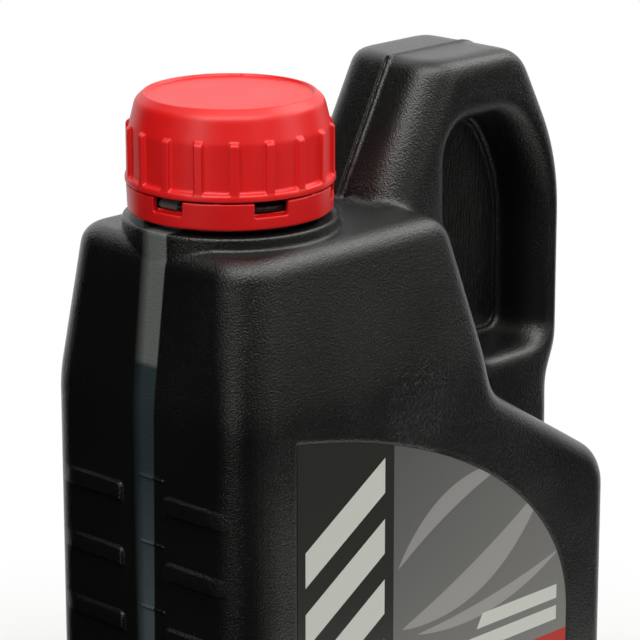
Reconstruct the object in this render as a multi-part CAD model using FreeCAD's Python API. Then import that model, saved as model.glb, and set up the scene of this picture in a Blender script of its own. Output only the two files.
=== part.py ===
import FreeCAD, Part
import math
import os

# One litre motor oil bottle, full and closed, standing on its base.
# +Z is up. The neck and screw cap stand near the -X end, the grip handle at the +X end,
# and the front label is on the -Y side. The origin is under the middle of the bottle.
# Heights in the blown form are given from the rim of the collar, where the neck begins.

# Blown body: overall block
body_length = 119.4
body_width = 63.6
rim_height = 179.9
neck_to_front = 26.9
wall = 1.0
corner_radius = 9.7
edge_radius = 5.0
base_edge_radius = 4.0

# Upper body, which leans in above a soft break
break_depth = 37.0
break_blend_radius = 60.0
front_lean = 3.9
side_lean = 4.2
deck_depth = 2.9

# Rear shoulder: a steep flank behind the deck, then a gentle slope to the rear face
flank_top_x = 40.6
flank_foot_x = 53.0
flank_foot_depth = 45.9
slope_end_depth = 69.8
flank_top_radius = 7.5
flank_foot_radius = 10.7
slope_end_radius = 12.5

# Base: a push-up inside the standing ring, with the welded pinch line across it
push_up_height = 3.0
push_up_margin = 9.0
push_up_slant = 3.0
pinch_line_width = 1.6
pinch_line_height = 0.8

# Handle: a hollow loop over the rear shoulder, as thick as a hand holds
handle_width = 30.0
handle_rise = 26.8
handle_foot_x = 33.8
handle_front_x = 49.9
handle_back_x = 79.3
handle_rear_x = 94.2
handle_root_x = 90.8
handle_knee_depth = 0.9
handle_hip_depth = 45.6
handle_root_depth = 53.8
handle_back_radius = 10.0
handle_knee_radius = 50.0
handle_hip_radius = 13.0
handle_front_edge_radius = 8.0
handle_edge_radius = 3.8

# Finger pockets either side of the thin web where the two walls are pinched together
web_thickness = 1.8
pocket_rim_radius = 3.2
pocket_top_rise = 10.8
pocket_floor_depth = 44.1
pocket_front_x = 55.9
pocket_foot_x = 66.6
pocket_crown_x = 76.3
pocket_rear_x = 87.0
pocket_rear_depth = 5.4
pocket_front_depth = 9.7
pocket_front_radius = 6.5
pocket_crown_radius = 10.5
pocket_back_radius = 40.0
pocket_floor_radius = 4.7
pocket_knee_radius = 10.7

# Collar, neck, thread and the bead that holds the tamper band
collar_radius = 23.35
collar_root = 8.0
neck_radius = 18.5
neck_bore_radius = 16.9
neck_rise = 23.4
collar_edge = 0.3
lip_edge = 0.6
bead_reach = 1.8
bead_base_rise = 4.6
bead_height = 2.2
thread_pitch = 4.0
thread_turns = 1.75
thread_start_rise = 12.0
thread_depth = 0.9
thread_root_width = 2.2
thread_crest_width = 1.0
thread_sink = 0.3

# Moulding seam: a pair of fine beads up the front of the handle, and one bead over its top
seam_width = 1.5
seam_groove = 0.5
seam_height = 0.35
seam_top_width = 0.6

# Grip ribs either side of the view stripe, and the small level marks across the stripe
rib_count = 6
rib_pitch = 14.9
rib_first_depth = 56.1
rib_height = 4.1
rib_near = 6.4
rib_far = 24.9
rib_top_reach = 0.35
rib_foot_reach = 1.1
rib_foot_slope = 1.2
rib_fade = 4.5
mark_rise = 2.8
mark_height = 0.5
mark_reach = 0.3
mark_left = 0.9
mark_right = -6.3

# Label: a thin film in a shallow panel on the broad -Y side
label_left_x = -12.0
label_right_x = 77.6
label_sweep_x = -51.3
label_top_depth = 42.8
label_side_depth = 104.2
label_foot_height = 22.0
label_foot_radius = 4.0
label_thickness = 0.1
label_recess = 0.25
label_margin = 0.6

# Screw cap
cap_skirt_rise = 7.5
cap_radius = 22.66
cap_panel_radius = 21.65
cap_panel_round = 4.0
cap_shoulder_radius = 20.35
cap_shoulder_rise = 25.0
cap_shoulder_round = 1.6
cap_rim_radius = 18.5
cap_rise = 26.6
cap_disc_radius = 17.85
cap_disc_depth = 0.6
cap_bead_height = 1.45
cap_bead_round = 0.4
cap_edge = 0.2
cap_rib_count = 18
cap_rib_width = 1.8
cap_rib_radius = 22.5
cap_rib_root_radius = 20.8
cap_rib_top_rise = 20.6
cap_rib_top_slant = 1.0
cap_rib_phase = 7.7
cap_notch_width = 3.6
cap_notch_angle = 42.5
cap_thread_start_rise = 14.4
thread_clearance = 0.35
cap_bore_clearance = 0.6
cap_thread_turns = 1.25

# Liner, tamper band and the oil
liner_thickness = 1.1
liner_clearance = 0.3
band_rise = 1.3
band_slit = 0.35
band_top_radius = 22.4
band_foot_radius = 22.15
band_wall = 1.5
band_hook_reach = 1.2
band_hook_gap = 0.3
band_hook_height = 0.6
band_hook_root = 0.5
band_foot_edge = 0.3
band_top_edge = 0.15
window_count = 6
window_width = 7.6
window_height = 3.1
window_phase = 8.5
bridge_width = 0.9
bridge_depth = 0.9
bridge_root = 0.2
bridge_gap = 0.05
oil_depth = 28.4
oil_clearance = 0.2

# Edges broken by no more than this are bevelled, and larger ones are rounded
fine_edge = 0.7
# An edge counts as lying on a plane when its middle is this near to it
near = 0.01

# Worked out from the sizes above
front_x = -neck_to_front
rear_x = body_length - neck_to_front
middle_x = (front_x - rib_foot_reach + max(rear_x, handle_rear_x)) / 2
half_width = body_width / 2
neck_axis = FreeCAD.Vector(-middle_x, 0, 0)
up = FreeCAD.Vector(0, 0, 1)


def vec(x, y, z):
    return FreeCAD.Vector(x, y, z)


def height(depth):
    """Height above the floor of a point that lies this far under the collar's rim."""
    return rim_height - depth


def rounded_wire(corners):
    """Closed wire through corners (point, radius), each rounded by an arc or, if fine, bevelled."""
    edges = []
    ends = []
    for index, (corner, radius) in enumerate(corners):
        before = (corners[index - 1][0] - corner).normalize()
        after = (corners[(index + 1) % len(corners)][0] - corner).normalize()
        half_angle = before.getAngle(after) / 2
        if radius > 0:
            reach = radius / math.tan(half_angle)
            start = corner + before * reach
            stop = corner + after * reach
            bisector = (before + after).normalize()
            centre = corner + bisector * (radius / math.sin(half_angle))
            middle = centre - bisector * radius
            if radius > fine_edge:
                edges.append(Part.Arc(start, middle, stop).toShape())
            else:
                edges.append(Part.LineSegment(start, stop).toShape())
            ends.append((start, stop))
        else:
            ends.append((corner, corner))
    for index in range(len(corners)):
        start = ends[index][1]
        stop = ends[(index + 1) % len(corners)][0]
        if start.distanceToPoint(stop) > 1e-6:
            edges.append(Part.LineSegment(start, stop).toShape())
    return Part.Wire(Part.__sortEdges__(edges))


def drawn_in(corners, direction, inset):
    """The outline with each side moved inwards by inset and each arc kept parallel."""
    points = [point for point, radius in corners]
    area = sum(points[index - 1].cross(point).dot(direction) for index, point in enumerate(points))
    turn = math.copysign(1, area)
    moved = []
    for index, (corner, radius) in enumerate(corners):
        before = (corner - points[index - 1]).normalize()
        after = (points[(index + 1) % len(points)] - corner).normalize()
        inward_before = direction.cross(before) * turn
        inward_after = direction.cross(after) * turn
        shift = (inward_before + inward_after) * (inset / (1 + inward_before.dot(inward_after)))
        bend = math.copysign(1, before.cross(after).dot(direction) * turn)
        moved.append((corner + shift, radius - bend * inset if radius else 0))
    return moved


def slab(corners, low, high, direction, inset=0.0):
    """Solid between two planes across direction, with the outline drawn in by inset."""
    outline = Part.Face(rounded_wire(drawn_in(corners, direction, inset)))
    outline.translate(direction * low)
    return outline.extrude(direction * (high - low))


def edges_where(shape, test):
    """Edges of the shape whose middle point passes the test."""
    picked = []
    for edge in shape.Edges:
        middle = edge.valueAt((edge.FirstParameter + edge.LastParameter) / 2)
        if test(edge, middle):
            picked.append(edge)
    return picked


def side_outline():
    """Side view of the body: front face, deck, flank, slope and rear face."""
    front_lean_x = front_x + front_lean
    return [
        (vec(front_x, 0, 0), 0),
        (vec(front_x, 0, height(break_depth)), break_blend_radius),
        (vec(front_lean_x, 0, height(deck_depth)), 0),
        (vec(flank_top_x, 0, height(deck_depth)), flank_top_radius),
        (vec(flank_foot_x, 0, height(flank_foot_depth)), flank_foot_radius),
        (vec(rear_x, 0, height(slope_end_depth)), slope_end_radius),
        (vec(rear_x, 0, 0), 0),
    ]


def end_outline():
    """End view of the body: upright sides that lean in above the break."""
    top = half_width - side_lean
    return [
        (vec(0, -half_width, 0), 0),
        (vec(0, half_width, 0), 0),
        (vec(0, half_width, height(break_depth)), break_blend_radius),
        (vec(0, top, height(deck_depth)), 0),
        (vec(0, -top, height(deck_depth)), 0),
        (vec(0, -half_width, height(break_depth)), break_blend_radius),
    ]


def body_form(inset):
    """Blown body without neck and handle, its skin drawn in by inset."""
    y = vec(0, 1, 0)
    x = vec(1, 0, 0)
    side = slab(side_outline(), -body_width, body_width, y, inset)
    end = slab(end_outline(), front_x - wall, rear_x + wall, x, inset)
    form = side.common(end)

    def front_corner(edge, middle):
        leaned_side = half_width - side_lean - inset
        return middle.x < front_x + front_lean + inset and abs(middle.y) > leaned_side - near

    form = form.makeFillet(corner_radius - inset, edges_where(form, front_corner))
    deck = height(deck_depth) - inset

    def upper_edge(edge, middle):
        return abs(middle.z - deck) < near and middle.x < flank_top_x - flank_top_radius

    form = form.makeFillet(edge_radius - inset, edges_where(form, upper_edge))

    def base_edge(edge, middle):
        return abs(middle.z - inset) < near

    return form.makeFillet(base_edge_radius - inset, edges_where(form, base_edge))


def handle_outline():
    """Side view of the handle, run down into the body."""
    lean = (handle_front_x - handle_foot_x) / (handle_rise + deck_depth)
    buried = 10.0
    return [
        (vec(handle_foot_x - lean * buried, 0, height(deck_depth + buried)), 0),
        (vec(handle_front_x, 0, height(-handle_rise)), 0),
        (vec(handle_back_x, 0, height(-handle_rise)), handle_back_radius),
        (vec(handle_rear_x, 0, height(handle_knee_depth)), handle_knee_radius),
        (vec(handle_rear_x, 0, height(handle_hip_depth)), handle_hip_radius),
        (vec(handle_root_x, 0, height(handle_root_depth)), handle_hip_radius),
        (vec(handle_root_x, 0, height(slope_end_depth + buried)), 0),
        (vec(flank_foot_x + buried, 0, height(slope_end_depth)), 0),
    ]


def pocket_outline():
    """Side view of the finger pocket."""
    return [
        (vec(pocket_front_x, 0, height(-pocket_top_rise)), pocket_front_radius),
        (vec(pocket_crown_x, 0, height(-pocket_top_rise)), pocket_crown_radius),
        (vec(pocket_rear_x, 0, height(pocket_rear_depth)), pocket_back_radius),
        (vec(pocket_rear_x, 0, height(pocket_floor_depth)), pocket_floor_radius),
        (vec(pocket_foot_x, 0, height(pocket_floor_depth)), pocket_front_radius),
        (vec(pocket_front_x, 0, height(pocket_front_depth)), pocket_knee_radius),
    ]


def handle_form(inset):
    """Handle block with its finger pockets, its skin drawn in by inset."""
    y = vec(0, 1, 0)
    half = handle_width / 2 - inset
    form = slab(handle_outline(), -half, half, y, inset)

    def front_edge(edge, middle):
        on_slope = middle.x < handle_front_x and middle.z > height(deck_depth)
        return on_slope and abs(abs(middle.y) - half) < near

    form = form.makeFillet(handle_front_edge_radius - inset, edges_where(form, front_edge))
    top = height(-handle_rise) - inset

    def top_edge(edge, middle):
        return abs(middle.z - top) < near and middle.x < handle_back_x - handle_back_radius

    form = form.makeFillet(handle_edge_radius - inset, edges_where(form, top_edge))
    if inset:
        pocket = slab(pocket_outline(), -body_width, body_width, y, -inset)
        form = form.cut(pocket)
    else:
        web = web_thickness / 2
        form = form.cut(slab(pocket_outline(), web, half + 1, y))
        form = form.cut(slab(pocket_outline(), -half - 1, -web, y))

    def rim_edge(edge, middle):
        reach = inset + near
        inside_x = pocket_front_x - reach < middle.x < pocket_rear_x + reach
        inside_z = height(pocket_floor_depth) - reach < middle.z < height(-pocket_top_rise) + reach
        return inside_x and inside_z and abs(abs(middle.y) - half) < near

    return form.makeFillet(pocket_rim_radius - inset, edges_where(form, rim_edge))


def base_recess(inset):
    """What the push-up takes out of the base, grown by inset for the inner skin."""
    low = inset - wall
    top = push_up_height + inset
    margin = push_up_margin - inset
    length = rear_x - front_x - 2 * margin
    width = body_width - 2 * margin

    def ring(grow, level):
        half_l = length / 2 + grow
        half_w = width / 2 + grow
        mid = (rear_x + front_x) / 2
        radius = corner_radius / 2 + grow
        corners = [(-half_l, -half_w), (half_l, -half_w), (half_l, half_w), (-half_l, half_w)]
        return rounded_wire([(vec(mid + x, y, level), radius) for x, y in corners])

    slope = push_up_slant / (push_up_height + wall)
    return Part.makeLoft([ring(slope * (top - low), low), ring(0, top)], True, True)


def blown_form(inset):
    """Body and handle as one form."""
    form = body_form(inset).fuse(handle_form(inset)).removeSplitter()
    return form.cut(base_recess(inset))


def ring_solid(outline):
    """Solid turned about the neck axis from (radius, rise over the rim, rounding) corners."""
    corners = [(vec(radius, 0, height(-rise)), rounding) for radius, rise, rounding in outline]
    return Part.Face(rounded_wire(corners)).revolve(vec(0, 0, 0), up, 360)


def thread(root, crest, rise, turns):
    """Helical ridge that stands from the root radius to the crest radius."""
    sunk = root - math.copysign(thread_sink, crest - root)
    helix = Part.makeHelix(thread_pitch, thread_pitch * turns, root)
    profile = Part.makePolygon([
        vec(sunk, 0, -thread_root_width / 2),
        vec(crest, 0, -thread_crest_width / 2),
        vec(crest, 0, thread_crest_width / 2),
        vec(sunk, 0, thread_root_width / 2),
        vec(sunk, 0, -thread_root_width / 2),
    ])
    ridge = Part.Wire(helix.Edges).makePipeShell([profile], True, True)
    ridge.translate(vec(0, 0, height(-rise)))
    return ridge


def around(shape, count, phase):
    """Copies of the shape at equal angles about the neck axis, the first at phase."""
    copies = []
    for index in range(count):
        copy = shape.copy()
        copy.rotate(vec(0, 0, 0), up, phase + 360 / count * index)
        copies.append(copy)
    return copies


def neck_form():
    """Collar, neck tube and the bead under the thread, solid through."""
    bead = neck_radius + bead_reach
    return ring_solid([
        (0, -collar_root, 0),
        (collar_radius, -collar_root, 0),
        (collar_radius, 0, collar_edge),
        (neck_radius, 0, 0),
        (neck_radius, bead_base_rise, 0),
        (bead, bead_base_rise, 0),
        (bead, bead_base_rise + bead_height / 2, 0),
        (neck_radius, bead_base_rise + bead_height, 0),
        (neck_radius, neck_rise, lip_edge),
        (0, neck_rise, 0),
    ])


def grip_ribs():
    """Raised wedges on the narrow front face, thin above and standing out below."""
    ribs = []
    plan = Part.makePolygon([
        vec(front_x + wall / 2, rib_near, 0),
        vec(front_x - rib_foot_reach, rib_near, 0),
        vec(front_x - rib_foot_reach, rib_far - rib_fade, 0),
        vec(front_x + wall / 2, rib_far, 0),
        vec(front_x + wall / 2, rib_near, 0),
    ])
    fade = Part.Face(plan).extrude(vec(0, 0, rim_height))
    for index in range(rib_count):
        top = height(rib_first_depth + index * rib_pitch)
        profile = Part.makePolygon([
            vec(front_x + wall / 2, 0, top),
            vec(front_x - rib_top_reach, 0, top),
            vec(front_x - rib_foot_reach, 0, top - rib_height + rib_foot_slope),
            vec(front_x, 0, top - rib_height),
            vec(front_x + wall / 2, 0, top - rib_height),
            vec(front_x + wall / 2, 0, top),
        ])
        rib = Part.Face(profile).extrude(vec(0, rib_far, 0)).common(fade)
        ribs.append(rib)
        ribs.append(rib.mirror(vec(0, 0, 0), vec(0, 1, 0)))
        mark = Part.makeBox(wall / 2 + mark_reach, mark_left - mark_right, mark_height)
        mark.translate(vec(front_x - mark_reach, mark_right, top + mark_rise))
        ribs.append(mark)
    return ribs


def label_face(grow):
    """Label as seen from -Y: straight left side, one sweeping curve over the top right."""
    left = label_left_x - grow
    right = label_right_x + grow
    side = height(label_side_depth)
    foot = label_foot_height - grow
    radius = label_foot_radius + grow
    bend = radius * (1 - math.sqrt(0.5))
    wide = right - label_sweep_x
    across = math.acos((left - label_sweep_x) / wide)
    top = height(label_top_depth) + grow
    tall = (top - side) / math.sin(across)
    sweep = Part.ArcOfEllipse(Part.Ellipse(vec(label_sweep_x, side, 0), wide, tall), 0, across)
    edges = [
        sweep.toShape(),
        Part.LineSegment(vec(right, side, 0), vec(right, foot + radius, 0)).toShape(),
        Part.Arc(
            vec(right, foot + radius, 0),
            vec(right - bend, foot + bend, 0),
            vec(right - radius, foot, 0),
        ).toShape(),
        Part.LineSegment(vec(right - radius, foot, 0), vec(left + radius, foot, 0)).toShape(),
        Part.Arc(
            vec(left + radius, foot, 0),
            vec(left + bend, foot + bend, 0),
            vec(left, foot + radius, 0),
        ).toShape(),
        Part.LineSegment(vec(left, foot + radius, 0), vec(left, top, 0)).toShape(),
    ]
    face = Part.Face(Part.Wire(Part.__sortEdges__(edges)))
    face.rotate(vec(0, 0, 0), vec(1, 0, 0), 90)
    return face


def label_sheet(grow, low, high):
    """Label outline as a sheet between two depths inside the broad face."""
    face = label_face(grow)
    face.translate(vec(0, -half_width + low, 0))
    return face.extrude(vec(0, high - low, 0))


def seam_bead():
    """Raised mould seam along the front slope and the top of the handle."""
    y = vec(0, 1, 0)
    half = seam_width / 2
    proud = slab(handle_outline(), -half, half, y, -seam_height)
    start = handle_foot_x - seam_width
    low = height(deck_depth + seam_height)
    reach = height(-handle_rise - 2 * seam_height) - low
    slope_zone = Part.makeBox(handle_front_x - start, half - seam_groove / 2, reach)
    beads = []
    for side in (-half, seam_groove / 2):
        zone = slope_zone.copy()
        zone.translate(vec(start, side, low))
        beads.append(proud.common(zone))
    top_zone = Part.makeBox(handle_back_x - handle_front_x, seam_top_width, reach)
    top_zone.translate(vec(handle_front_x, -seam_top_width / 2, low))
    beads.append(proud.common(top_zone))
    return beads


def bottle_solid():
    """The whole blown bottle: skin, neck, bead, thread, ribs and seam as one piece."""
    outer = blown_form(0).fuse([neck_form()] + seam_bead() + grip_ribs())
    outer = outer.cut(label_sheet(label_margin, -1, label_recess))
    outer = outer.fuse(thread(
        neck_radius, neck_radius + thread_depth, thread_start_rise, thread_turns))
    bore_foot = deck_depth + 3 * wall
    bore = Part.makeCylinder(
        neck_bore_radius, neck_rise + bore_foot + wall, vec(0, 0, height(bore_foot)), up)
    hollow = blown_form(wall).fuse(bore)
    pinch = Part.makeBox(
        body_length - 2 * push_up_margin, pinch_line_width, pinch_line_height + wall / 2)
    pinch.translate(vec(
        front_x + push_up_margin, -pinch_line_width / 2, push_up_height - pinch_line_height))
    return outer.cut(hollow).fuse(pinch).removeSplitter()


def oil_solid():
    """Oil up to its level, a hair clear of the wall."""
    form = blown_form(wall + oil_clearance)
    above = Part.makeBox(4 * body_length, 4 * body_width, rim_height)
    above.translate(vec(-2 * body_length, -2 * body_width, height(oil_depth)))
    return form.cut(above)


def cap_solid():
    """Screw cap: ribbed skirt, coned shoulder, sunk top disc and inside thread."""
    bore = neck_radius + thread_depth + cap_bore_clearance
    under = neck_rise + liner_thickness
    bead_top = cap_skirt_rise + cap_bead_height
    disc = cap_rise - cap_disc_depth
    shell = ring_solid([
        (bore, cap_skirt_rise, 0),
        (cap_radius, cap_skirt_rise, cap_edge),
        (cap_radius, bead_top, cap_bead_round),
        (cap_panel_radius, bead_top + cap_bead_round, cap_bead_round),
        (cap_panel_radius, cap_rib_top_rise - cap_rib_top_slant, cap_panel_round),
        (cap_shoulder_radius, cap_shoulder_rise, cap_shoulder_round),
        (cap_rim_radius, cap_rise, cap_edge),
        (cap_disc_radius, cap_rise, cap_edge),
        (cap_disc_radius, disc, 0),
        (0, disc, 0),
        (0, under, 0),
        (bore, under, 0),
    ])
    profile = rounded_wire([
        (vec(cap_rib_root_radius, 0, height(cap_bead_round - bead_top)), 0),
        (vec(cap_rib_radius, 0, height(cap_bead_round - bead_top)), 0),
        (vec(cap_rib_radius, 0, height(cap_rib_top_slant - cap_rib_top_rise)), cap_bead_round),
        (vec(cap_rib_root_radius, 0, height(-cap_rib_top_rise)), 0),
    ])
    rib = Part.Face(profile).extrude(vec(0, cap_rib_width, 0))
    rib.translate(vec(0, -cap_rib_width / 2, 0))
    notch = Part.makeBox(cap_radius - cap_disc_radius, cap_notch_width, 2 * cap_disc_depth)
    notch.translate(vec(cap_disc_radius - cap_edge, -cap_notch_width / 2, height(-disc)))
    cap = shell.fuse(around(rib, cap_rib_count, cap_rib_phase))
    cap = cap.cut(around(notch, 1, cap_notch_angle))
    inside_thread = thread(
        bore, neck_radius + thread_clearance, cap_thread_start_rise, cap_thread_turns)
    return cap.fuse(inside_thread)


def liner_solid():
    """Sealing disc between the cap and the lip of the neck."""
    radius = neck_radius + thread_depth + cap_bore_clearance - liner_clearance
    return ring_solid([
        (0, neck_rise, 0),
        (radius, neck_rise, 0),
        (radius, neck_rise + liner_thickness, 0),
        (0, neck_rise + liner_thickness, 0),
    ])


def band_solid():
    """Tamper band: windows in its upper edge, bridges to the cap, hook under the bead."""
    top = cap_skirt_rise - band_slit
    inner = band_top_radius - band_wall
    hook = bead_base_rise - band_hook_gap
    band = ring_solid([
        (inner, hook + band_hook_root, 0),
        (inner - band_hook_reach, hook, 0),
        (inner - band_hook_reach, hook - band_hook_height, 0),
        (inner - band_foot_edge, band_rise, 0),
        (band_foot_radius, band_rise, band_foot_edge),
        (band_top_radius, top, band_top_edge),
        (inner, top, 0),
    ])
    window = Part.makeBox(2 * band_wall, window_width, 2 * window_height)
    window.translate(vec(inner - band_wall / 2, -window_width / 2, height(window_height - top)))
    band = band.cut(around(window, window_count, window_phase))
    bridge = Part.makeBox(bridge_depth, bridge_width, bridge_root + band_slit - bridge_gap)
    bridge.translate(vec(inner + bridge_root, -bridge_width / 2, height(bridge_root - top)))
    return band.fuse(around(bridge, window_count, window_phase + 180 / window_count))


def build():
    """Every piece by node name, moved from the neck axis to the bottle's middle."""
    pieces = {
        "bottle": bottle_solid(),
        "oil_fill": oil_solid(),
        "tamper_band": band_solid(),
        "cap_liner": liner_solid(),
        "screw_cap": cap_solid(),
        "front_label": label_sheet(0, label_recess - label_thickness, label_recess),
    }
    for shape in pieces.values():
        shape.translate(neck_axis)
    return pieces


if __name__ == "__main__":
    os.makedirs("parts", exist_ok=True)
    for name, shape in build().items():
        shape.exportStep("parts/" + name + ".step")
        print(name, "solids", len(shape.Solids), "valid", shape.isValid(),
              "ml", round(shape.Volume / 1000, 2))
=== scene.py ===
import math

import bmesh
import bpy
import numpy as np
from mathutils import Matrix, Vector, noise
from mathutils.geometry import delaunay_2d_cdt


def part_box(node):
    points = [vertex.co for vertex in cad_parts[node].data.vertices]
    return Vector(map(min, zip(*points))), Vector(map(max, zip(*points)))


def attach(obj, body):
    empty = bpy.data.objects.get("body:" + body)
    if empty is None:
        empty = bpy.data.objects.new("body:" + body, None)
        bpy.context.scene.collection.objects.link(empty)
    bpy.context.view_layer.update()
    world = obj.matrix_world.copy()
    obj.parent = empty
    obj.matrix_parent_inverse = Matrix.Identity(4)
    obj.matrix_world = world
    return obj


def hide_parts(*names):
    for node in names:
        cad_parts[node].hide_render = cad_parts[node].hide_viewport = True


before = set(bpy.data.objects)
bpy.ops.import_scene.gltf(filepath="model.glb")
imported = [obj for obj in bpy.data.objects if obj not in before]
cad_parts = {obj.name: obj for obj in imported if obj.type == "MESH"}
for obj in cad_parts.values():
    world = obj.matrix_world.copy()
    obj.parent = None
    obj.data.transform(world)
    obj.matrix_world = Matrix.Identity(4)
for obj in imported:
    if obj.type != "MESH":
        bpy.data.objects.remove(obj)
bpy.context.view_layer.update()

# Blown bottle.
# High density polyethylene, blow moulded in one piece: body, hollow handle with its pinched web,
# collar and threaded neck. The mould leaves a fine leather grain, a seam and soft edges, and a
# band of the same plastic without pigment runs up the narrow front as the view stripe.
mm = 0.001
cap_low, cap_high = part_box("screw_cap")
bottle_low, bottle_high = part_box("bottle")
neck_x = (cap_low.x + cap_high.x) / 2
handle_rise = 26.8 * mm
seam_height = 0.35 * mm
rim_z = bottle_high.z - handle_rise - seam_height
half_width = -bottle_low.y
bore_radius = 16.9 * mm
neck_rise = 23.4 * mm
voxel = 0.34 * mm
mould_softness = 0.3 * mm
handle_softness = 2.0 * mm
handle_wall_extra = 1.3 * mm
handle_half = 15.0
most_triangles = 170000


def srgb(code):
    """Linear RGBA of an sRGB hex colour."""
    channels = [int(code[i:i + 2], 16) / 255 for i in (1, 3, 5)]
    return [c / 12.92 if c <= 0.04045 else ((c + 0.055) / 1.055) ** 2.4 for c in channels] + [1.0]


def add_node(tree, kind, settings=(), links=()):
    """Adds a node, gives its properties and sockets their settings, and links its sockets."""
    node = tree.nodes.new(kind)
    for name, value in dict(settings).items():
        if isinstance(name, str) and hasattr(node, name):
            setattr(node, name, value)
        else:
            node.inputs[name].default_value = value
    for name, source in dict(links).items():
        tree.links.new(source, node.inputs[name])
    return node


def new_material(name):
    """An empty node material and its tree."""
    material = bpy.data.materials.new(name)
    material.use_nodes = True
    material.node_tree.nodes.clear()
    return material, material.node_tree


def surface(tree, shader):
    """Ends a node tree on this shader."""
    add_node(tree, "ShaderNodeOutputMaterial", {}, {"Surface": shader.outputs[0]})


def ease(value, start, end):
    """0 before start, 1 past end, and smooth between."""
    share = np.clip((value - start) / (end - start), 0, 1)
    return share * share * (3 - 2 * share)


def place_mesh(name, mesh):
    """An object for the mesh, put in the scene."""
    piece = bpy.data.objects.new(name, mesh)
    bpy.context.scene.collection.objects.link(piece)
    return piece


def bake_modifiers(piece):
    """Turns the piece's modifiers into mesh."""
    graph = bpy.context.evaluated_depsgraph_get()
    result = bpy.data.meshes.new_from_object(piece.evaluated_get(graph))
    piece.modifiers.clear()
    piece.data = result


def mesh_points(mesh):
    """The mesh's points as rows of x, y, z."""
    points = np.empty(len(mesh.vertices) * 3)
    mesh.vertices.foreach_get("co", points)
    return points.reshape(-1, 3)


def mould_places(points):
    """Along from the neck axis, depth under the collar rim and distance from the seam, in mm."""
    along = (points[:, 0] - neck_x) / mm
    depth = (rim_z - points[:, 2]) / mm
    return along, depth, np.abs(points[:, 1]) / mm


def soft_share(points):
    """How far each point belongs to the softly blown handle and its foot, from 0 to 1."""
    along, depth, side = mould_places(points)
    share = ease(along, 30.0, 36.0) * ease(depth, 64.0, 52.0)
    slope = np.abs((along - 33.8) * 29.7 - (2.9 - depth) * 16.1) / 33.8
    front_seam = (slope < 4.0) & (depth < 4.0) & (along < 56.0)
    top_seam = depth < -24.0
    seam = np.where(front_seam | top_seam, ease(side, 2.6, 1.3), 0.0)
    return share * (1 - seam)


# The CAD bottle is split into its outer skin and its hollow, both closed over the mouth.
form = bmesh.new()
form.from_mesh(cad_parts["bottle"].data)
bmesh.ops.remove_doubles(form, verts=form.verts, dist=0.002 * mm)
bore_walls = []
for face in form.faces:
    middle = face.calc_center_median()
    spoke = Vector((middle.x - neck_x, middle.y, 0))
    upright = abs(face.normal.z) < 0.1 and face.normal.dot(spoke) < 0
    if upright and abs(spoke.length - bore_radius) < 0.3 * mm and middle.z > rim_z - 8 * mm:
        bore_walls.append(face)
bmesh.ops.delete(form, geom=bore_walls, context="FACES")
lowest = min(form.verts, key=lambda vert: vert.co.z)
outside = {lowest}
front = [lowest]
while front:
    for edge in front.pop().link_edges:
        for other in edge.verts:
            if other not in outside:
                outside.add(other)
                front.append(other)
outer = [vert in outside for vert in form.verts]
hollow_form = form.copy()
hollow_form.verts.ensure_lookup_table()
bmesh.ops.delete(form, geom=[v for v, kept in zip(list(form.verts), outer) if not kept], context="VERTS")
bmesh.ops.delete(hollow_form, geom=[v for v, kept in zip(list(hollow_form.verts), outer) if kept], context="VERTS")
shells = []
for name, shell in (("skin", form), ("hollow", hollow_form)):
    mouth = [edge for edge in shell.edges if edge.is_boundary]
    if name == "hollow":
        raised = bmesh.ops.extrude_edge_only(shell, edges=mouth)["geom"]
        for item in raised:
            if isinstance(item, bmesh.types.BMVert):
                item.co.z = rim_z + neck_rise + 5 * mm
        mouth = [edge for edge in shell.edges if edge.is_boundary]
    bmesh.ops.holes_fill(shell, edges=mouth, sides=0)
    bmesh.ops.recalc_face_normals(shell, faces=shell.faces)
    if name == "hollow":
        # The parison gathers in the handle, so the wall is thicker there
        shell.normal_update()
        places = np.array([vert.co[:] for vert in shell.verts])
        share = soft_share(places)
        for vert, part in zip(shell.verts, share):
            vert.co -= vert.normal * float(part) * handle_wall_extra
    mesh = bpy.data.meshes.new(name)
    shell.to_mesh(mesh)
    shell.free()
    shells.append(place_mesh(name, mesh))
skin, hollow = shells

# The finger pockets open out in a broad soft flare, cut here before the skin gets its even mesh
pocket_corners = [
    ((55.9, -10.8), 6.5), ((76.3, -10.8), 10.5), ((87.0, 5.4), 40.0),
    ((87.0, 44.1), 4.7), ((66.6, 44.1), 6.5), ((55.9, 9.7), 10.7)]
flare_reach = 5.6
flare_depth = 9.5


def rounded_outline(corners, arc_steps=10):
    """Points round a convex outline with their outward directions, each corner turned by its arc."""
    rounded = []
    for index, (corner, radius) in enumerate(corners):
        corner = Vector(corner)
        before = (Vector(corners[index - 1][0]) - corner).normalized()
        after = (Vector(corners[(index + 1) % len(corners)][0]) - corner).normalized()
        inward = (before + after).normalized()
        half_angle = before.angle(after) / 2
        centre = corner + inward * (radius / math.sin(half_angle))
        first = (corner + before * (radius / math.tan(half_angle)) - centre).normalized()
        last = (corner + after * (radius / math.tan(half_angle)) - centre).normalized()
        for step in range(arc_steps + 1):
            outward = first.lerp(last, step / arc_steps).normalized()
            rounded.append((centre + outward * radius, outward))
    return rounded


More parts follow.
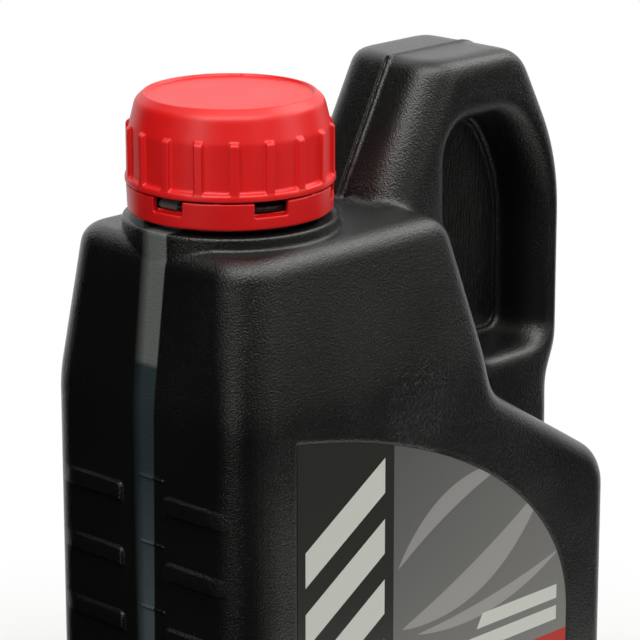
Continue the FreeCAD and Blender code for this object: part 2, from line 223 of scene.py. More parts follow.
pocket_line = rounded_outline(pocket_corners)
for side in (-1, 1):
    cutter_form = bmesh.new()
    levels = [(handle_half - flare_depth - 0.6, -0.2)]
    for step in range(15):
        turn = step / 14
        levels.append((
            handle_half - flare_depth + flare_depth * math.sin(turn * math.pi / 2),
            flare_reach * (1 - math.cos(turn * math.pi / 2))))
    levels.append((handle_half + 1.5, flare_reach + 0.05))
    rings = []
    for level, grow in levels:
        ring = []
        for spot, outward in pocket_line:
            x, depth = spot + outward * grow * (1 - 0.45 * max(0.0, outward.y))
            ring.append(cutter_form.verts.new((neck_x + x * mm, side * level * mm, rim_z - depth * mm)))
        rings.append(ring)
    cutter_form.faces.new(rings[0])
    cutter_form.faces.new(rings[-1])
    for lower, upper in zip(rings, rings[1:]):
        for index in range(len(lower)):
            after = (index + 1) % len(lower)
            cutter_form.faces.new((lower[index], lower[after], upper[after], upper[index]))
    bmesh.ops.recalc_face_normals(cutter_form, faces=cutter_form.faces)
    cutter_mesh = bpy.data.meshes.new("flare")
    cutter_form.to_mesh(cutter_mesh)
    cutter_form.free()
    cutter = place_mesh("flare", cutter_mesh)
    flare = skin.modifiers.new("flare", "BOOLEAN")
    flare.object = cutter
    flare.operation = "DIFFERENCE"
    flare.solver = "MANIFOLD"
    bake_modifiers(skin)
    bpy.data.objects.remove(cutter)

# The skin gets an even mesh, and is softened as blown plastic is, most of all at the handle
remesh = skin.modifiers.new("even", "REMESH")
remesh.mode = "VOXEL"
remesh.voxel_size = voxel
bake_modifiers(skin)
points = mesh_points(skin.data)
share = soft_share(points)
group = skin.vertex_groups.new(name="soft")
steps = 8
level = np.rint(share * steps).astype(int)
for step in range(1, steps + 1):
    group.add(np.flatnonzero(level == step).tolist(), step / steps, "REPLACE")
for name, spread, only in (("mould", mould_softness, ""), ("handle", handle_softness, "soft")):
    soften = skin.modifiers.new(name, "SMOOTH")
    soften.factor = 0.5
    soften.iterations = max(1, round(4 * (spread / voxel) ** 2))
    soften.vertex_group = only
bake_modifiers(skin)

# Fine moulded relief, set into the even mesh: the ribs and level marks on the narrow front, the
# pinch line round the web, and the small creases at the handle's foot
rib_count = 6
rib_pitch = 14.9
rib_first = 56.1
corner_radius = 9.7
front_along = -26.9
points = mesh_points(skin.data)
along, depth, side = mould_places(points)
front = (depth > 52) & (depth < 140) & (side < 27.5) & (along < -20)
over = np.clip(side - (half_width / mm - corner_radius), 0, corner_radius - 0.01)
plain = front_along + corner_radius - np.sqrt(corner_radius ** 2 - over ** 2)
relief = np.zeros(len(points))
for index in range(rib_count):
    below = depth - (rib_first + rib_pitch * index)
    dip = 1.5 * (1 - np.sqrt(1 - np.clip((7.8 - side) / 1.5, 0, 1) ** 2))
    ledge = np.interp(below - dip, (-0.1, 0.6, 3.75, 4.15), (0.0, 0.6, 0.8, 0.0))
    relief = np.maximum(relief, ledge * ease(side, 6.1, 6.9) * ease(side, 26.5, 19.0))
    above = rib_first + rib_pitch * index - depth
    mark = ease(above, 2.6, 2.8) * ease(above, 3.4, 3.2)
    across = points[:, 1] / mm
    mark = 0.3 * mark * ease(across, 1.1, 0.7) * ease(across, -6.5, -6.1)
    relief = np.maximum(relief, mark)
points[front, 0] = neck_x + (plain - relief)[front] * mm
web = np.flatnonzero((side < 1.6) & (along > 55) & (along < 88) & (depth > -12) & (depth < 46))
nearest = np.full(len(web), 100.0)
line_points = [spot for spot, outward in pocket_line]
for start, end in zip(line_points, line_points[1:] + line_points[:1]):
    run = end - start
    from_start = np.stack([along[web] - start.x, depth[web] - start.y], axis=1)
    share = np.clip(from_start @ np.array(run) / max(run.length_squared, 1e-9), 0, 1)
    gap = from_start - share[:, None] * np.array(run)
    nearest = np.minimum(nearest, np.hypot(gap[:, 0], gap[:, 1]))
raised = np.clip(1 - np.abs(nearest - 1.6) / 0.4, 0, 1)
points[web, 1] += np.sign(points[web, 1]) * raised * 0.3 * mm
foot = (along > 28) & (along < 40) & (depth > -1) & (depth < 8) & (side < 17)
for index in np.flatnonzero(foot):
    fold = noise.noise(Vector(points[index]) / (2.6 * mm)) + 0.5 * noise.noise(Vector(points[index]) / (1.1 * mm))
    reach = max(0, 1 - abs(along[index] - 33.8) / 4.0) * max(0, 1 - max(0, side[index] - 11) / 5)
    points[index, 2] += fold * reach * 0.35 * mm
skin.data.vertices.foreach_set("co", points.ravel())
skin.data.update()

thin = skin.modifiers.new("thin", "DECIMATE")
thin.ratio = most_triangles / (2 * len(skin.data.polygons))
bake_modifiers(skin)
carve = skin.modifiers.new("hollow", "BOOLEAN")
carve.object = hollow
carve.operation = "DIFFERENCE"
carve.solver = "MANIFOLD"
bake_modifiers(skin)
skin.name = "blown_bottle"
skin.data.name = "blown_bottle"
skin.data.shade_smooth()
even_shade = skin.modifiers.new("even_shade", "WEIGHTED_NORMAL")
even_shade.mode = "FACE_AREA"
bake_modifiers(skin)

# Black polyethylene, moulded: nearly black, satin, with the mould's leather grain as fine sparkle
# in the highlights. The unpigmented stripe is milky grey over air and slate over the dark oil.
plastic, tree = new_material("blown_polyethylene")
place = add_node(tree, "ShaderNodeTexCoord")
split = add_node(tree, "ShaderNodeSeparateXYZ", {}, {"Vector": place.outputs["Object"]})
leather = add_node(
    tree, "ShaderNodeTexNoise",
    {"Scale": 1 / (0.42 * mm), "Detail": 2.0, "Roughness": 0.6},
    {"Vector": place.outputs["Object"]})
patches = add_node(
    tree, "ShaderNodeTexNoise",
    {"Scale": 1 / (30 * mm), "Detail": 1.0},
    {"Vector": place.outputs["Object"]})
grain_depth = add_node(
    tree, "ShaderNodeMapRange",
    {"From Min": 0.35, "From Max": 0.7, "To Min": 0.65, "To Max": 1.0},
    {"Value": patches.outputs[0]})
grain = add_node(
    tree, "ShaderNodeBump", {"Distance": 0.2 * mm},
    {"Height": leather.outputs[0], "Strength": grain_depth.outputs[0]})
# The mould's grain is coarser in a patch above the label
from_patch = add_node(
    tree, "ShaderNodeVectorMath",
    {"operation": "DISTANCE", 1: (neck_x + 26 * mm, -half_width, rim_z - 43 * mm)},
    {0: place.outputs["Object"]})
patch_share = add_node(
    tree, "ShaderNodeMapRange", {"From Min": 14 * mm, "From Max": 8 * mm, "To Max": 0.7},
    {"Value": from_patch.outputs["Value"]})
coarse = add_node(
    tree, "ShaderNodeTexNoise", {"Scale": 1 / (1.0 * mm), "Detail": 2.0},
    {"Vector": place.outputs["Object"]})
coarse_grain = add_node(
    tree, "ShaderNodeBump", {"Distance": 0.4 * mm},
    {"Height": coarse.outputs[0], "Strength": patch_share.outputs[0],
     "Normal": grain.outputs[0]})
# The pinched web is rough, with fine upright drag marks where the two walls were squeezed
upright = add_node(
    tree, "ShaderNodeVectorMath", {"operation": "MULTIPLY", 1: (1, 1, 0.14)},
    {0: place.outputs["Object"]})
drag = add_node(
    tree, "ShaderNodeTexNoise",
    {"Scale": 1 / (0.55 * mm), "Detail": 3.0, "Roughness": 0.6},
    {"Vector": upright.outputs[0]})
off_seam = add_node(tree, "ShaderNodeMath", {"operation": "ABSOLUTE"}, {0: split.outputs["Y"]})
web_side = add_node(
    tree, "ShaderNodeMapRange",
    {"From Min": 2.2 * mm, "From Max": 1.2 * mm, "To Max": 0.9},
    {"Value": off_seam.outputs[0]})
web_along = add_node(
    tree, "ShaderNodeMapRange",
    {"From Min": neck_x + 55 * mm, "From Max": neck_x + 56 * mm},
    {"Value": split.outputs["X"]})
web_low = add_node(
    tree, "ShaderNodeMapRange",
    {"From Min": rim_z + 14 * mm, "From Max": rim_z + 12 * mm},
    {"Value": split.outputs["Z"]})
web_here = add_node(
    tree, "ShaderNodeMath", {"operation": "MULTIPLY"},
    {0: web_side.outputs[0], 1: web_along.outputs[0]})
web_share = add_node(
    tree, "ShaderNodeMath", {"operation": "MULTIPLY"},
    {0: web_here.outputs[0], 1: web_low.outputs[0]})
web_marks = add_node(
    tree, "ShaderNodeBump", {"Distance": 0.4 * mm},
    {"Height": drag.outputs[0], "Strength": web_share.outputs[0], "Normal": coarse_grain.outputs[0]})
# The stripe: sharp right edge, blurred left edge, both spreading a little towards the collar
spread_up = add_node(
    tree, "ShaderNodeMapRange",
    {"From Min": rim_z - 100 * mm, "From Max": rim_z - 5 * mm},
    {"Value": split.outputs["Z"]})
right_shift = add_node(
    tree, "ShaderNodeMath", {"operation": "MULTIPLY_ADD", 1: 1.3 * mm},
    {0: spread_up.outputs[0], 2: split.outputs["Y"]})
left_shift = add_node(
    tree, "ShaderNodeMath", {"operation": "MULTIPLY_ADD", 1: -0.8 * mm},
    {0: spread_up.outputs[0], 2: split.outputs["Y"]})
right_edge = add_node(
    tree, "ShaderNodeMapRange", {"From Min": -3.0 * mm, "From Max": -2.6 * mm},
    {"Value": right_shift.outputs[0]})
left_edge = add_node(
    tree, "ShaderNodeMapRange", {"From Min": 2.7 * mm, "From Max": -0.4 * mm},
    {"Value": left_shift.outputs[0]})
on_front = add_node(
    tree, "ShaderNodeMapRange", {"From Min": neck_x - 9 * mm, "From Max": neck_x - 12 * mm},
    {"Value": split.outputs["X"]})
between = add_node(
    tree, "ShaderNodeMath", {"operation": "MULTIPLY"},
    {0: right_edge.outputs[0], 1: left_edge.outputs[0]})
stripe = add_node(
    tree, "ShaderNodeMath", {"operation": "MULTIPLY"},
    {0: between.outputs[0], 1: on_front.outputs[0]})
oil_depth = 28.4 * mm
over_oil = add_node(
    tree, "ShaderNodeMapRange",
    {"From Min": rim_z - oil_depth - 0.6 * mm, "From Max": rim_z - oil_depth + 0.6 * mm},
    {"Value": split.outputs["Z"]})
low_down = add_node(
    tree, "ShaderNodeMapRange",
    {"From Min": rim_z - 50 * mm, "From Max": rim_z - 85 * mm},
    {"Value": split.outputs["Z"]})
oil_tone = add_node(
    tree, "ShaderNodeMix",
    {"data_type": "RGBA", 6: srgb("#2c373b"), 7: srgb("#475256")},
    {0: low_down.outputs[0]})
stripe_tone = add_node(
    tree, "ShaderNodeMix", {"data_type": "RGBA", 7: srgb("#636664")},
    {0: over_oil.outputs[0], 6: oil_tone.outputs[2]})
body_tone = add_node(
    tree, "ShaderNodeMix",
    {"data_type": "RGBA", 6: srgb("#0a0b0a"), 7: srgb("#0f100f")},
    {0: patches.outputs[0]})
tone = add_node(
    tree, "ShaderNodeMix", {"data_type": "RGBA"},
    {0: stripe.outputs[0], 6: body_tone.outputs[2], 7: stripe_tone.outputs[2]})
satin = add_node(
    tree, "ShaderNodeMapRange", {"To Min": 0.25, "To Max": 0.32}, {"Value": patches.outputs[0]})
shader = add_node(
    tree, "ShaderNodeBsdfPrincipled", {"IOR": 1.54},
    {"Base Color": tone.outputs[2], "Roughness": satin.outputs[0], "Normal": web_marks.outputs[0]})
surface(tree, shader)
skin.data.materials.clear()
skin.data.materials.append(plastic)
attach(skin, "bottle_body")
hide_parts("bottle")

# Front label.
# A thin self-adhesive polypropylene film in the shallow panel of the broad side, printed in
# greys, white and red and varnished. The print is plain generic shapes, with no words.
label_low, label_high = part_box("front_label")
label_left = -12.0
label_right = 77.6
label_top = 42.8
label_side = 104.2
label_foot = rim_z / mm - 22.0
label_corner = 4.0
sweep_centre = -51.3
column_right = 18.1
sweep_across = math.acos((label_left - sweep_centre) / (label_right - sweep_centre))
sweep_tall = (label_side - label_top) / math.sin(sweep_across)
# The outline runs from the foot of the right side round the bottom, up, and along the sweep
outline = []
for corner_along, start in ((label_right - label_corner, 0), (label_left + label_corner, 90)):
    for turn in range(0, 91, 15):
        angle = math.radians(start + turn)
        outline.append((
            corner_along + label_corner * math.cos(angle),
            label_foot - label_corner + label_corner * math.sin(angle)))
sweep_steps = 72
for step in range(sweep_steps + 1):
    angle = sweep_across * (1 - step / sweep_steps)
    outline.append((
        sweep_centre + (label_right - sweep_centre) * math.cos(angle),
        label_side - sweep_tall * math.sin(angle)))
print_shapes = []
# Dark column down the left side, with pale slanted blocks in it
print_shapes.append(("dark", [(-20, 30), (column_right, 30), (column_right, 170), (-20, 170)]))
block_left = -9.6
block_right = 15.2
for top in (52.0, 66.0, 80.0, 94.0):
    print_shapes.append(("pale", [
        (block_left, top + 15.5), (block_right, top), (block_right, top + 8.0), (block_left, top + 23.5)]))
for row in range(5):
    top = 126.0 + row * 5.0
    print_shapes.append(("pale", [
        (block_left, top), (block_right - 6 * (row % 2), top),
        (block_right - 6 * (row % 2), top + 1.6), (block_left, top + 1.6)]))


def crescent(start, end, bulge, thickness, steps=28):
    """A tapered sweep from start to end that bows by bulge and is thickest near its middle."""
    along = Vector(end) - Vector(start)
    normal = Vector((along.y, -along.x)).normalized()
    upper = []
    lower = []
    for index in range(steps + 1):
        share = index / steps
        arch = 4 * share * (1 - share)
        spine = Vector(start) + along * share + normal * bulge * arch
        half = normal * thickness / 2 * math.sin(math.pi * share) ** 0.8
        upper.append(tuple(spine + half))
        lower.append(tuple(spine - half))
    return upper + lower[-2:0:-1]


# Broad light sweeps over the grey field
for start, end, bulge, thickness in (
    ((21.0, 93.5), (69.0, 71.0), -5.0, 7.5),
    ((19.5, 79.0), (56.0, 62.5), 4.0, 5.0),
    ((26.0, 96.0), (74.5, 88.5), -3.0, 3.4),
):
    print_shapes.append(("sweep", crescent(start, end, bulge, thickness)))
# Plain pale bars and a red band, as a label of this kind has
print_shapes.append(("pale", [(48.0, 97.0), (74.0, 97.0), (74.0, 100.4), (46.0, 100.4)]))
print_shapes.append(("pale", [(35.0, 102.2), (74.0, 102.2), (74.0, 105.6), (33.0, 105.6)]))
print_shapes.append(("red", [(44.0, 108.6), (90.0, 108.6), (90.0, 124.0), (35.0, 124.0)]))
for row, end in enumerate((70.0, 64.0, 70.0, 52.0)):
    top = 130.0 + row * 4.6
    print_shapes.append(("pale", [(24.0, top), (end, top), (end, top + 1.4), (24.0, top + 1.4)]))
flat = list(outline)
loops = [list(range(len(outline)))]
inks = ["field"]
for ink, shape in print_shapes:
    loops.append(list(range(len(flat), len(flat) + len(shape))))
    flat.extend(shape)
    inks.append(ink)
tiles = delaunay_2d_cdt([Vector(point) for point in flat], [], loops, 1, 1e-5)
film = bmesh.new()
ink_names = ["field", "dark", "pale", "sweep", "red"]
front_verts = []
for along, depth in tiles[0]:
    front_verts.append(film.verts.new((neck_x + along * mm, label_low.y, rim_z - depth * mm)))
for tile, sources in zip(tiles[2], tiles[5]):
    if 0 in sources:
        face = film.faces.new([front_verts[index] for index in tile])
        face.material_index = ink_names.index(inks[max(sources)])
bmesh.ops.delete(film, geom=[vert for vert in film.verts if not vert.link_faces], context="VERTS")
bmesh.ops.recalc_face_normals(film, faces=film.faces)
for face in film.faces:
    if face.normal.y > 0:
        face.normal_flip()
edge_loop = [edge for edge in film.edges if edge.is_boundary]
walls = bmesh.ops.extrude_edge_only(film, edges=edge_loop)["geom"]
for item in walls:
    if isinstance(item, bmesh.types.BMVert):
        item.co.y = label_high.y
back_loop = [edge for edge in film.edges if edge.is_boundary]
back = bmesh.ops.holes_fill(film, edges=back_loop, sides=0)["faces"]
bmesh.ops.recalc_face_normals(film, faces=film.faces)
film_mesh = bpy.data.meshes.new("printed_label")
film.to_mesh(film_mesh)
film.free()
label = place_mesh("printed_label", film_mesh)


def printed_film(name, dark, light, roughness):
    """Varnished polypropylene film: smooth and glossy, so it shows its slight waves in the light.

    The ink runs from the dark tone at the upper left to the light one at the lower right.
    """
    material, tree = new_material(name)
    place = add_node(tree, "ShaderNodeTexCoord")
    split = add_node(tree, "ShaderNodeSeparateXYZ", {}, {"Vector": place.outputs["Object"]})
    fall = add_node(
        tree, "ShaderNodeMath", {"operation": "MULTIPLY_ADD", 1: -1.4},
        {0: split.outputs["Z"], 2: split.outputs["X"]})
    run = add_node(
        tree, "ShaderNodeMapRange",
        {"From Min": -0.22, "From Max": -0.06}, {"Value": fall.outputs[0]})
    speck = add_node(
        tree, "ShaderNodeTexNoise", {"Scale": 1 / (0.5 * mm), "Detail": 1.0},
        {"Vector": place.outputs["Object"]})
    ink = add_node(
        tree, "ShaderNodeMix", {"data_type": "RGBA", 6: srgb(dark), 7: srgb(light)},
        {0: run.outputs[0]})
    waves = add_node(
        tree, "ShaderNodeTexNoise", {"Scale": 1 / (7 * mm), "Detail": 2.0},
        {"Vector": place.outputs["Object"]})
    wavy = add_node(
        tree, "ShaderNodeBump", {"Strength": 0.6, "Distance": 0.12 * mm},
        {"Height": waves.outputs[0]})
    fine = add_node(
        tree, "ShaderNodeBump", {"Strength": 0.15, "Distance": 0.02 * mm},
        {"Height": speck.outputs[0], "Normal": wavy.outputs[0]})
    shader = add_node(
        tree, "ShaderNodeBsdfPrincipled", {"Roughness": roughness, "IOR": 1.49},
        {"Base Color": ink.outputs[2], "Normal": fine.outputs[0]})
    surface(tree, shader)
    return material


for material in (
    printed_film("film_grey_ink", "#565657", "#858482", 0.34),
    printed_film("film_black_ink", "#31322f", "#373835", 0.22),
    printed_film("film_white_ink", "#d2d3ce", "#d9dad5", 0.4),
    printed_film("film_light_grey_ink", "#8f8d8c", "#aaa8a6", 0.34),
    printed_film("film_red_ink", "#b8322c", "#c23a33", 0.34),
):
    label.data.materials.append(material)
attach(label, "bottle_body")
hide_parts("front_label")

# Tamper band.
# A thin red polypropylene ring moulded with the cap and joined to it by six small bridges, with
# windows in its upper edge and a hook inside that stays under the neck's bead when the cap turns.


def moulded_polypropylene(name, dark, light, roughness):
    """Injection moulded polypropylene: strong even red, satin, with a faint fine mould texture."""
    material, tree = new_material(name)
    place = add_node(tree, "ShaderNodeTexCoord")
    cloud = add_node(
        tree, "ShaderNodeTexNoise", {"Scale": 1 / (9 * mm), "Detail": 2.0},
        {"Vector": place.outputs["Object"]})
    pigment = add_node(
        tree, "ShaderNodeMix", {"data_type": "RGBA", 6: srgb(dark), 7: srgb(light)},
        {0: cloud.outputs[0]})
    texture = add_node(
        tree, "ShaderNodeTexNoise", {"Scale": 1 / (0.45 * mm), "Detail": 2.0},
        {"Vector": place.outputs["Object"]})
    eroded = add_node(
        tree, "ShaderNodeBump", {"Strength": 0.35, "Distance": 0.02 * mm},
        {"Height": texture.outputs[0]})
    sheen = add_node(
        tree, "ShaderNodeMapRange", {"To Min": roughness - 0.04, "To Max": roughness + 0.05},
        {"Value": cloud.outputs[0]})
    shader = add_node(
        tree, "ShaderNodeBsdfPrincipled",
        {"IOR": 1.49, "Subsurface Weight": 0.12, "Subsurface Radius": (1.0, 0.25, 0.2),
         "Subsurface Scale": 1.2 * mm},
        {"Base Color": pigment.outputs[2], "Roughness": sheen.outputs[0],
         "Normal": eroded.outputs[0]})
    surface(tree, shader)
    return material


def moulded_copy(node, name, cell, triangles, spreads, rings=()):
    """A CAD node remeshed evenly, its moulded edges softened, with closed rings of points added."""
    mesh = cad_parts[node].data.copy()
    mesh.name = name
    weld = bmesh.new()
    weld.from_mesh(mesh)
    bmesh.ops.remove_doubles(weld, verts=weld.verts, dist=0.002 * mm)
    if rings:
        loops = [[weld.verts.new(spot) for spot in ring] for ring in rings]
        added = [weld.faces.new(loops[0]), weld.faces.new(loops[-1])]
        for near_loop, far_loop in zip(loops, loops[1:]):
            for index in range(len(near_loop)):
                after = (index + 1) % len(near_loop)
                added.append(weld.faces.new(
                    (near_loop[index], near_loop[after], far_loop[after], far_loop[index])))
        bmesh.ops.recalc_face_normals(weld, faces=added)
    weld.to_mesh(mesh)
    weld.free()
    piece = place_mesh(name, mesh)
    remesh = piece.modifiers.new("even", "REMESH")
    remesh.mode = "VOXEL"
    remesh.voxel_size = cell
    bake_modifiers(piece)
    points = mesh_points(piece.data)
    for spread, share in spreads:
        group = piece.vertex_groups.new(name="soft")
        chosen = np.flatnonzero(share(points) > 0.5).tolist()
        group.add(chosen, 1.0, "REPLACE")
        soften = piece.modifiers.new("soften", "SMOOTH")
        soften.factor = 0.5
        soften.iterations = max(1, round(4 * (spread / cell) ** 2))
        soften.vertex_group = group.name
    bake_modifiers(piece)
    thin = piece.modifiers.new("thin", "DECIMATE")
    thin.ratio = min(1.0, triangles / (2 * len(piece.data.polygons)))
    bake_modifiers(piece)
    piece.data.shade_smooth()
    even_shade = piece.modifiers.new("even_shade", "WEIGHTED_NORMAL")
    even_shade.mode = "FACE_AREA"
    bake_modifiers(piece)
    piece.data.name = name
    piece.data.materials.clear()
    return piece


def neck_places(points):
    """Distance from the neck axis and rise over the collar's rim, in mm."""
    return np.hypot(points[:, 0] - neck_x, points[:, 1]) / mm, (points[:, 2] - rim_z) / mm


moulding_cell = 0.2 * mm
band = moulded_copy(
    "tamper_band", "tamper_ring", moulding_cell, 60000,
    [(0.18 * mm, lambda points: np.ones(len(points)))])
band.data.materials.append(moulded_polypropylene("band_polypropylene", "#d01214", "#d81516", 0.36))
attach(band, "bottle_body")
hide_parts("tamper_band")

# Screw cap.
# Injection moulded red polypropylene, with 18 grip ribs, a coned shoulder and a sunk top disc,
# screwed down on the neck's thread.


def cap_shoulder(points):
    """The cap's outer shoulder, which is rounder than the rest."""
    radius, rise = neck_places(points)
    return (radius > 18.9) & (rise > 21.6)


# The notch is a shallow pocket in the inside of the rim, so the rim's outside runs on past it
rim_patch = []
for step in range(9):
    angle = math.radians(35.5 + 14 * step / 8)
    rim_patch.append([
        (neck_x + radius * mm * math.cos(angle), radius * mm * math.sin(angle), cap_high.z + rise * mm)
        for radius, rise in ((18.15, -0.8), (18.15, -0.02), (18.5, -0.02), (19.2, -0.62), (19.2, -0.8))])
cap = moulded_copy(
    "screw_cap", "ribbed_cap", moulding_cell, 150000,
    [(0.18 * mm, lambda points: np.ones(len(points))), (0.9 * mm, cap_shoulder)], rim_patch)
cap.data.materials.append(moulded_polypropylene("cap_polypropylene", "#d81416", "#e01818", 0.38))
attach(cap, "cap")
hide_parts("screw_cap")

# Cap liner.
# A disc of white expanded polyethylene foam, pressed into the cap, that seals on the neck's lip.
foam, tree = new_material("expanded_polyethylene")
place = add_node(tree, "ShaderNodeTexCoord")
cells = add_node(
    tree, "ShaderNodeTexVoronoi", {"Scale": 1 / (0.4 * mm)}, {"Vector": place.outputs["Object"]})
# Closed foam cells show as tiny dimples, with painted shade darkening their middles
painted_dimple_shade = add_node(
    tree, "ShaderNodeMix", {"data_type": "RGBA", 6: srgb("#d2d1cb"), 7: srgb("#ecebe6")},
    {0: cells.outputs["Distance"]})
dimples = add_node(
    tree, "ShaderNodeBump", {"Strength": 0.5, "Distance": 0.05 * mm},
    {"Height": cells.outputs["Distance"]})
shader = add_node(
    tree, "ShaderNodeBsdfPrincipled", {"Roughness": 0.7, "IOR": 1.5},
    {"Base Color": painted_dimple_shade.outputs[2], "Normal": dimples.outputs[0]})
surface(tree, shader)
liner_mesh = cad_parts["cap_liner"].data
liner_mesh.materials.clear()
liner_mesh.materials.append(foam)

# Oil.
# One litre of mineral motor oil, clear amber and thick, filled up to the level that shows
# through the stripe. Nothing holds it but the bottle.
oil, tree = new_material("motor_oil")
place = add_node(tree, "ShaderNodeTexCoord")
split = add_node(tree, "ShaderNodeSeparateXYZ", {}, {"Vector": place.outputs["Object"]})
# Light fades with depth in the oil, so the colour deepens from the surface down
deep = add_node(
    tree, "ShaderNodeMapRange", {"From Min": rim_z - oil_depth, "From Max": 0.0},
    {"Value": split.outputs["Z"]})
amber = add_node(
    tree, "ShaderNodeMix", {"data_type": "RGBA", 6: srgb("#c98a2b"), 7: srgb("#8a5414")},
    {0: deep.outputs[0]})
shader = add_node(
    tree, "ShaderNodeBsdfPrincipled",
    {"Roughness": 0.04, "IOR": 1.48, "Transmission Weight": 0.85},
    {"Base Color": amber.outputs[2]})
surface(tree, shader)
# The oil takes the shape of the bottle's hollow, a hair clear of the wall, up to its level
oil_form = bmesh.new()
oil_form.from_mesh(hollow.data)
bpy.data.objects.remove(hollow)
oil_form.normal_update()
clear = [(vert, vert.co - vert.normal * 0.2 * mm) for vert in oil_form.verts]
for vert, spot in clear:
    vert.co = spot
level = bmesh.ops.bisect_plane(
    oil_form, geom=oil_form.verts[:] + oil_form.edges[:] + oil_form.faces[:],
    plane_co=(0, 0, rim_z - oil_depth), plane_no=(0, 0, 1), clear_outer=True)["geom_cut"]
bmesh.ops.holes_fill(oil_form, edges=[edge for edge in oil_form.edges if edge.is_boundary], sides=0)
bmesh.ops.recalc_face_normals(oil_form, faces=oil_form.faces)
oil_mesh = bpy.data.meshes.new("poured_oil")
oil_form.to_mesh(oil_mesh)
oil_form.free()
oil_mesh.materials.append(oil)
poured = place_mesh("poured_oil", oil_mesh)
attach(poured, "bottle_body")
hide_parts("oil_fill")

# Studio.
# Plain soft lamps over a pale paper floor: one large softbox above the camera, two smaller ones
# to the right, and a narrow strip either side for the upright corners. The room is white.


def soft_lamp(name, azimuth, elevation, distance, width, tall, power):
    """A rectangular softbox aimed at the bottle's middle."""
    data = bpy.data.lights.new(name, "AREA")
    data.shape = "RECTANGLE"
    data.size = width
    data.size_y = tall
    data.energy = power
    data.color = srgb("#fffffa")[:3]
    lamp = bpy.data.objects.new(name, data)
    bpy.context.scene.collection.objects.link(lamp)
    turn = math.radians(azimuth)
    climb = math.radians(elevation)
    way = Vector((math.cos(turn) * math.cos(climb), math.sin(turn) * math.cos(climb), math.sin(climb)))
    lamp.location = Vector((0, 0, 0.12)) + way * distance
    lamp.rotation_euler = way.to_track_quat("Z", "Y").to_euler()


soft_lamp("front_softbox", 225, 60, 1.2, 1.5, 0.8, 15)
soft_lamp("right_softbox", 300, 22, 1.2, 0.5, 0.9, 3)
soft_lamp("side_softbox", 335, 45, 1.2, 0.8, 0.8, 7.5)
soft_lamp("left_strip", 188, 22, 1.2, 0.2, 1.5, 3.8)
soft_lamp("right_strip", 258, 14, 1.2, 0.2, 1.3, 1)

# A black card stands round the camera's side and lies on the floor there, as is done for black
# plastic, so the front mirrors it in place of the white room and the edges stand out
card_steps = 24
card_points = []
for step in range(card_steps + 1):
    degrees = 94 + 252 * step / card_steps
    turn = math.radians(degrees)
    near_reach = 0.08 if degrees < 250 else 0.2
    for reach, height in ((near_reach, 0.002), (1.6, 0.002), (1.6, 1.8)):
        card_points.append((reach * math.cos(turn), reach * math.sin(turn), height))
card_faces = []
for step in range(card_steps):
    for row in (0, 1):
        corner = 3 * step + row
        card_faces.append((corner, corner + 1, corner + 4, corner + 3))
flag_mesh = bpy.data.meshes.new("flag")
flag_mesh.from_pydata(card_points, [], card_faces)
flag = place_mesh("flag", flag_mesh)
felt, tree = new_material("black_felt")
surface(tree, add_node(tree, "ShaderNodeBsdfDiffuse", {"Color": srgb("#060606")}))
flag_mesh.materials.append(felt)
for sight in ("camera", "diffuse", "transmission", "volume_scatter", "shadow"):
    setattr(flag, "visible_" + sight, False)

floor_reach = 6.0
floor_mesh = bpy.data.meshes.new("floor")
floor_mesh.from_pydata(
    [(-floor_reach, -floor_reach, 0), (floor_reach, -floor_reach, 0),
     (floor_reach, floor_reach, 0), (-floor_reach, floor_reach, 0)], [], [(0, 1, 2, 3)])
floor = place_mesh("floor", floor_mesh)
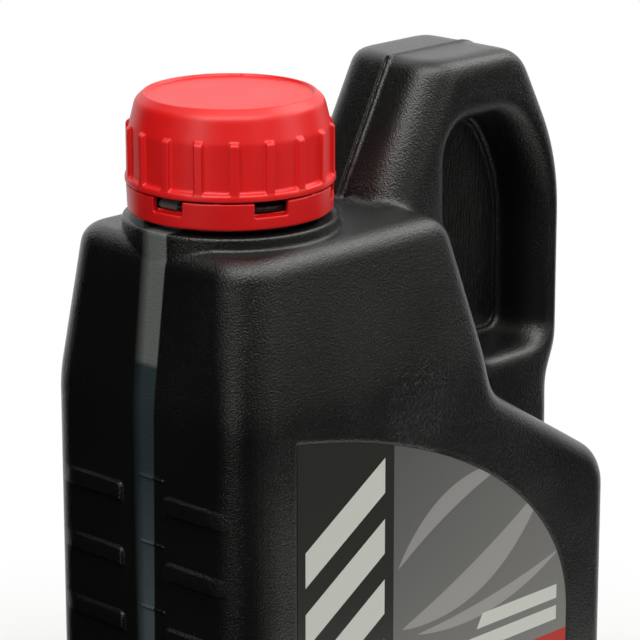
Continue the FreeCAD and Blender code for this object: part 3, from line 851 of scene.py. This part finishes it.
# White background paper: lit and shadowed near the bottle, and pure white further away
paper, tree = new_material("background_paper")
place = add_node(tree, "ShaderNodeTexCoord")
away = add_node(
    tree, "ShaderNodeVectorMath", {"operation": "LENGTH"}, {0: place.outputs["Object"]})
far = add_node(
    tree, "ShaderNodeMapRange",
    {"interpolation_type": "SMOOTHSTEP", "From Min": 0.1, "From Max": 0.28},
    {"Value": away.outputs["Value"]})
path = add_node(tree, "ShaderNodeLightPath")
looked_through = add_node(
    tree, "ShaderNodeMath", {"operation": "ADD"},
    {0: path.outputs["Is Camera Ray"], 1: path.outputs["Is Transmission Ray"]})
seen = add_node(
    tree, "ShaderNodeMath", {"operation": "ADD"},
    {0: looked_through.outputs[0], 1: path.outputs["Is Glossy Ray"]})
white_share = add_node(
    tree, "ShaderNodeMath", {"operation": "MULTIPLY"},
    {0: far.outputs[0], 1: seen.outputs[0]})
sheet_tone = add_node(
    tree, "ShaderNodeMix", {"data_type": "RGBA", 6: srgb("#7a7a7a"), 7: srgb("#f2f2f2")},
    {0: seen.outputs[0]})
sheet = add_node(tree, "ShaderNodeBsdfDiffuse", {}, {"Color": sheet_tone.outputs[2]})
glow = add_node(tree, "ShaderNodeEmission", {"Color": srgb("#ffffff"), "Strength": 1.0})
shader = add_node(
    tree, "ShaderNodeMixShader", {},
    {0: white_share.outputs[0], 1: sheet.outputs[0], 2: glow.outputs[0]})
surface(tree, shader)
floor_mesh.materials.append(paper)

world = bpy.data.worlds.new("studio")
bpy.context.scene.world = world
world.use_nodes = True
tree = world.node_tree
tree.nodes.clear()
path = add_node(tree, "ShaderNodeLightPath")
looked_through = add_node(
    tree, "ShaderNodeMath", {"operation": "ADD"},
    {0: path.outputs["Is Camera Ray"], 1: path.outputs["Is Transmission Ray"]})
seen = add_node(
    tree, "ShaderNodeMath", {"operation": "ADD"},
    {0: looked_through.outputs[0], 1: path.outputs["Is Glossy Ray"]})
room_light = add_node(
    tree, "ShaderNodeMapRange", {"To Min": 0.02, "To Max": 1.0}, {"Value": seen.outputs[0]})
room = add_node(
    tree, "ShaderNodeBackground", {"Color": srgb("#ffffff")}, {"Strength": room_light.outputs[0]})
add_node(tree, "ShaderNodeOutputWorld", {}, {"Surface": room.outputs[0]})

# Camera.
# A long lens at the photograph's angle, 16 degrees above level and 46 round from the broad side.
pixel = 0.215 * mm
camera_data = bpy.data.cameras.new("camera")
camera = bpy.data.objects.new("camera", camera_data)
bpy.context.scene.collection.objects.link(camera)
camera_data.sensor_width = 36
camera_data.lens = 36 * 3327 / 640
camera_data.clip_start = 0.05
camera_data.clip_end = 50
camera.location = Vector((neck_x, 0, rim_z)) + Vector((-2262.9, -2301.7, 818.8)) * pixel
camera.rotation_euler = (math.radians(90 - 16.1), 0, math.radians(-46.1))
bpy.context.scene.camera = camera

bpy.context.scene.view_settings.view_transform = "Standard"
